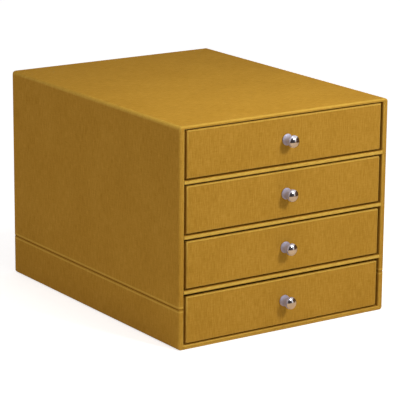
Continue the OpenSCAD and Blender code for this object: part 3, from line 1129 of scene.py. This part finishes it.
def make_drawer_cover(number):
    low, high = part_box(f"drawer_{number}_cover")
    side_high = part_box(f"drawer_{number}_left_board")[1]
    front_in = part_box(f"drawer_{number}_front_board")[1].y + COVER_T
    tray_front = front_in - 2 * COVER_T
    wall_in = -side_high.x - COVER_T
    back_in = high.y - (high.x - wall_in)
    floor_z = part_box(f"drawer_{number}_bottom_board")[1].z
    rim_z = side_high.z + COVER_T
    knob_z = low.z + KNOB_UP
    xs = [-high.x, -wall_in, -HOLE_HALF, HOLE_HALF, wall_in, high.x]
    ys = [low.y, tray_front, front_in, back_in, high.y]
    hole = [knob_z - HOLE_HALF, knob_z + HOLE_HALF]
    zs = [low.z, low.z + FRONT_LIFT, floor_z, *hole, rim_z, high.z]

    def is_full(x, y, z):
        if y < tray_front and z < low.z + FRONT_LIFT:
            return False
        if y < front_in:
            return abs(x) > HOLE_HALF or abs(z - knob_z) > HOLE_HALF
        if z > rim_z:
            return False
        return z < floor_z or abs(x) > wall_in or y > back_in

    def by_hole(point, reach):
        return abs(point.x) < reach and abs(point.z - knob_z) < reach

    def is_kept(middle):
        beside_hole = near(abs(middle.z - knob_z), HOLE_HALF)
        return beside_hole and (near(middle.y, low.y) or near(middle.y, front_in))

    def is_bare(centre, normal):
        in_hole = by_hole(centre, HOLE_HALF + HAIR) and centre.y < front_in
        on_floor = near(centre.z, floor_z) and normal.z > ACROSS
        return on_floor or (in_hole and abs(normal.y) < ALONG)

    def radius_of(start, end):
        middle = (start + end) / 2
        if by_hole(middle, 2 * HOLE_HALF):
            return 0.0
        if near(start.y, low.y) and near(end.y, low.y):
            return FRONT_R
        upright = near(start.x, end.x) and near(start.y, end.y)
        if upright and (near(middle.y, front_in) or near(middle.y, tray_front)):
            return 0.0
        return RIM_R

    def drawer_wear_and_light(point, is_flat):
        # the top edge of the front, lit from above, is lightened fully: partly worn, partly a
        # painted highlight
        on_top = point.z > high.z - REACH * FRONT_R
        return 0.0 if is_flat else 1.0 if on_top else RIM_WEAR_HIGHLIGHT

    form = cell_skin(xs, ys, zs, is_full)
    piece = rounded(f"drawer_{number}_linen", form, radius_of, FRONT_R, is_kept)
    sheet_of(piece, is_bare)
    lay_sheet(piece, drawer_sheet, [number * part for part in DRAWER_SHIFT])
    write_wear_and_light(piece, drawer_wear_and_light)
    return paint(piece, linen)


drawer_covers = {number: make_drawer_cover(number) for number in range(1, DRAWERS + 1)}
print("drawer covers:", [len(piece.data.polygons) for piece in drawer_covers.values()])

# %% [markdown]
# ## Knobs
# A knob is turned on a lathe: a profile goes once round an axis. Blender's Screw modifier can do
# that, but it can't note on the mesh how far each point stands out. A Geometry Nodes tree can. The
# profile is a thin polyline of radius against distance from the drawer front. The tree makes a
# grid with a row for each of its points and a column for each step round, and each grid point
# takes its radius and its distance from the profile.

# %% Profile of the knob
KNOB_R = 6.2 * MM
KNOB_L = 15.9 * MM
KNOB_EDGE_R = 3.4 * MM
DOME_R = 9.0 * MM
FOOT_R = 5.9 * MM
FOOT_EDGE_R = 1.0 * MM
WAIST_R = 4.8 * MM
WAIST_OUT = 5.6 * MM
HOLLOW_R = 9.0 * MM
BORE_R = 1.95 * MM
BORE_L = 8.0 * MM
CORNER_HOLD = 0.15 * MM
HOLLOW_STEPS = DOME_STEPS = 16
FOOT_STEPS, EDGE_STEPS = 6, 4
RIM_GAP = 1.0


def arc(centre, radius, start, end, steps):
    """Points of an arc in the profile's plane, angles in degrees."""
    angles = [math.radians(start + (end - start) * step / steps) for step in range(steps + 1)]
    return [(centre[0] + radius * math.cos(a), centre[1] + radius * math.sin(a)) for a in angles]


def dome_rim():
    """Where the dome meets the rounded edge of the head, as the angle on each of the two arcs."""
    edge_x, edge_up = KNOB_R - KNOB_EDGE_R, DOME_R - KNOB_EDGE_R
    apart = math.hypot(edge_x, edge_up)
    along = (DOME_R ** 2 - KNOB_EDGE_R ** 2 + apart ** 2) / (2 * apart)
    on_dome = math.atan2(edge_up, edge_x) - math.acos(along / DOME_R)
    rim_x, rim_up = DOME_R * math.cos(on_dome), DOME_R * math.sin(on_dome)
    return math.degrees(on_dome), math.degrees(math.atan2(rim_up - edge_up, rim_x - edge_x))


def knob_profile():
    """From the end of the screw's bore, round the foot, waist and edge, to the top of the dome."""
    points = [(0, BORE_L), (BORE_R - CORNER_HOLD, BORE_L), (BORE_R, BORE_L)]
    points += [(BORE_R, BORE_L - CORNER_HOLD), (BORE_R, CORNER_HOLD), (BORE_R, 0)]
    points += [(BORE_R + CORNER_HOLD, 0)]
    points += arc((FOOT_R - FOOT_EDGE_R, FOOT_EDGE_R), FOOT_EDGE_R, -90, 0, FOOT_STEPS)
    hollow = (WAIST_R + HOLLOW_R, WAIST_OUT)
    from_foot = math.degrees(math.acos((hollow[0] - FOOT_R) / HOLLOW_R))
    to_head = math.degrees(math.acos((hollow[0] - KNOB_R) / HOLLOW_R))
    points += arc(hollow, HOLLOW_R, 180 + from_foot, 180 - to_head, HOLLOW_STEPS)
    on_dome, on_edge = dome_rim()
    edge = (KNOB_R - KNOB_EDGE_R, KNOB_L - KNOB_EDGE_R)
    points += arc(edge, KNOB_EDGE_R, 0, on_edge, EDGE_STEPS)
    points += arc((0, KNOB_L - DOME_R), DOME_R, on_dome + RIM_GAP, 90, DOME_STEPS)
    return points


profile = knob_profile()
print("profile:", len(profile), "points, to", mm(max(out for radius, out in profile)), "mm out")

# %% The lathe
STEPS_ROUND = 64


def make_lathe_tree():
    tree, value = start_tree("lathe", "Vector", ["Centre"])
    rows = add_node(tree, "GeometryNodeAttributeDomainSize", {0: value["Geometry"]})
    grid = add_node(tree, "GeometryNodeMeshGrid", {
        "Size X": 1.0, "Size Y": 1.0, "Vertices X": STEPS_ROUND + 1, "Vertices Y": rows,
    })
    place = add_node(tree, "GeometryNodeInputPosition")
    part = axes(tree, place)
    # the grid runs from -0.5 to 0.5 both ways
    turn = calc(tree, "MULTIPLY", calc(tree, "ADD", part["X"], 0.5), 2 * math.pi)
    last_row = calc(tree, "SUBTRACT", rows, 1.0)
    row = calc(tree, "MULTIPLY", calc(tree, "ADD", part["Y"], 0.5), last_row)
    point = add_node(tree, "GeometryNodeSampleIndex", {
        "Geometry": value["Geometry"], "Value": place, "Index": calc(tree, "ROUND", row),
    }, data_type="FLOAT_VECTOR", domain="POINT")
    sampled = axes(tree, point)
    radius, out = sampled["X"], sampled["Y"]
    spot = add_node(tree, "ShaderNodeCombineXYZ", {
        0: calc(tree, "MULTIPLY", radius, calc(tree, "COSINE", turn)),
        1: calc(tree, "MULTIPLY", out, -1.0),
        2: calc(tree, "MULTIPLY", radius, calc(tree, "SINE", turn)),
    })
    marked = add_node(tree, "GeometryNodeStoreNamedAttribute", {
        "Geometry": grid, "Name": "stands_out", "Value": out,
    }, data_type="FLOAT", domain="POINT")
    turned = add_node(tree, "GeometryNodeSetPosition", {
        "Geometry": marked, "Position": spot, "Offset": value["Centre"],
    })
    closed = add_node(tree, "GeometryNodeMergeByDistance", {
        "Geometry": turned, "Distance": WELD,
    })
    smooth = add_node(tree, "GeometryNodeSetShadeSmooth", {"Geometry": closed})
    return end_tree(tree, smooth, value["Material"])


lathe_tree = make_lathe_tree()

# %% Knobs
def make_knob(number):
    low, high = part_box(f"drawer_{number}_knob")
    host = bpy.data.meshes.new("profile")
    lines = [(k, k + 1) for k in range(len(profile) - 1)]
    host.from_pydata([(radius, out, 0) for radius, out in profile], lines, [])
    piece = new_object(f"drawer_{number}_turned_knob", host)
    foot = (low + high) / 2
    foot.y = high.y
    apply_tree(piece, lathe_tree, {"Centre": foot, "Material": knob_metal})
    outward(piece, foot)
    return piece


knobs = {number: make_knob(number) for number in range(1, DRAWERS + 1)}
print("knobs:", [len(piece.data.polygons) for piece in knobs.values()])

# %% [markdown]
# ## Boards, strips, linings and screws
# The other pieces have the right shape in the frame already. Making them again would add nothing,
# so they keep their meshes and only take a finish, picked by the end of their names.

# %% Finishes for the frame's own meshes
FINISHES = {
    "_board": greyboard, "_guides": greyboard, "_sheet": lining_paper, "_lining": lining_paper,
    "_screw": screw_steel, "_washer": screw_steel, "_knob": knob_metal, "_cover": linen,
}
for node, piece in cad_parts.items():
    paint(piece, next(FINISHES[ending] for ending in FINISHES if node.endswith(ending)))
print("finishes:", sorted({piece.data.materials[0].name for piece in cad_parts.values()}))

# %% [markdown]
# ## Joining the frame
# Each new piece rides on the body that it belongs to, so the drawers take their covers and knobs
# along, and it stands for the frame's own node from now on. Parenting or drivers could move the
# pieces too, but only this way do they follow the same joints as the frame.

# %% Riding and replacing
def join_frame(piece, body, node):
    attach(piece, body)
    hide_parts(node)


join_frame(upper_cover, "case", "upper_cover")
join_frame(lower_cover, "case", "lower_cover")
for number, piece in shelf_covers.items():
    join_frame(piece, "case", f"shelf_{number}_cover")
for number in range(1, DRAWERS + 1):
    drawer = f"drawer_{number}"
    join_frame(drawer_covers[number], drawer, f"{drawer}_cover")
    join_frame(knobs[number], drawer, f"{drawer}_knob")
print("pieces made here:", 2 + len(shelf_covers) + len(drawer_covers) + len(knobs))

# %% [markdown]
# ## View transform
# The scene is set to the Standard view transform. The dressed model has to stay inside
# the frame's box.

# %% Finish
bpy.context.scene.view_settings.view_transform = "Standard"
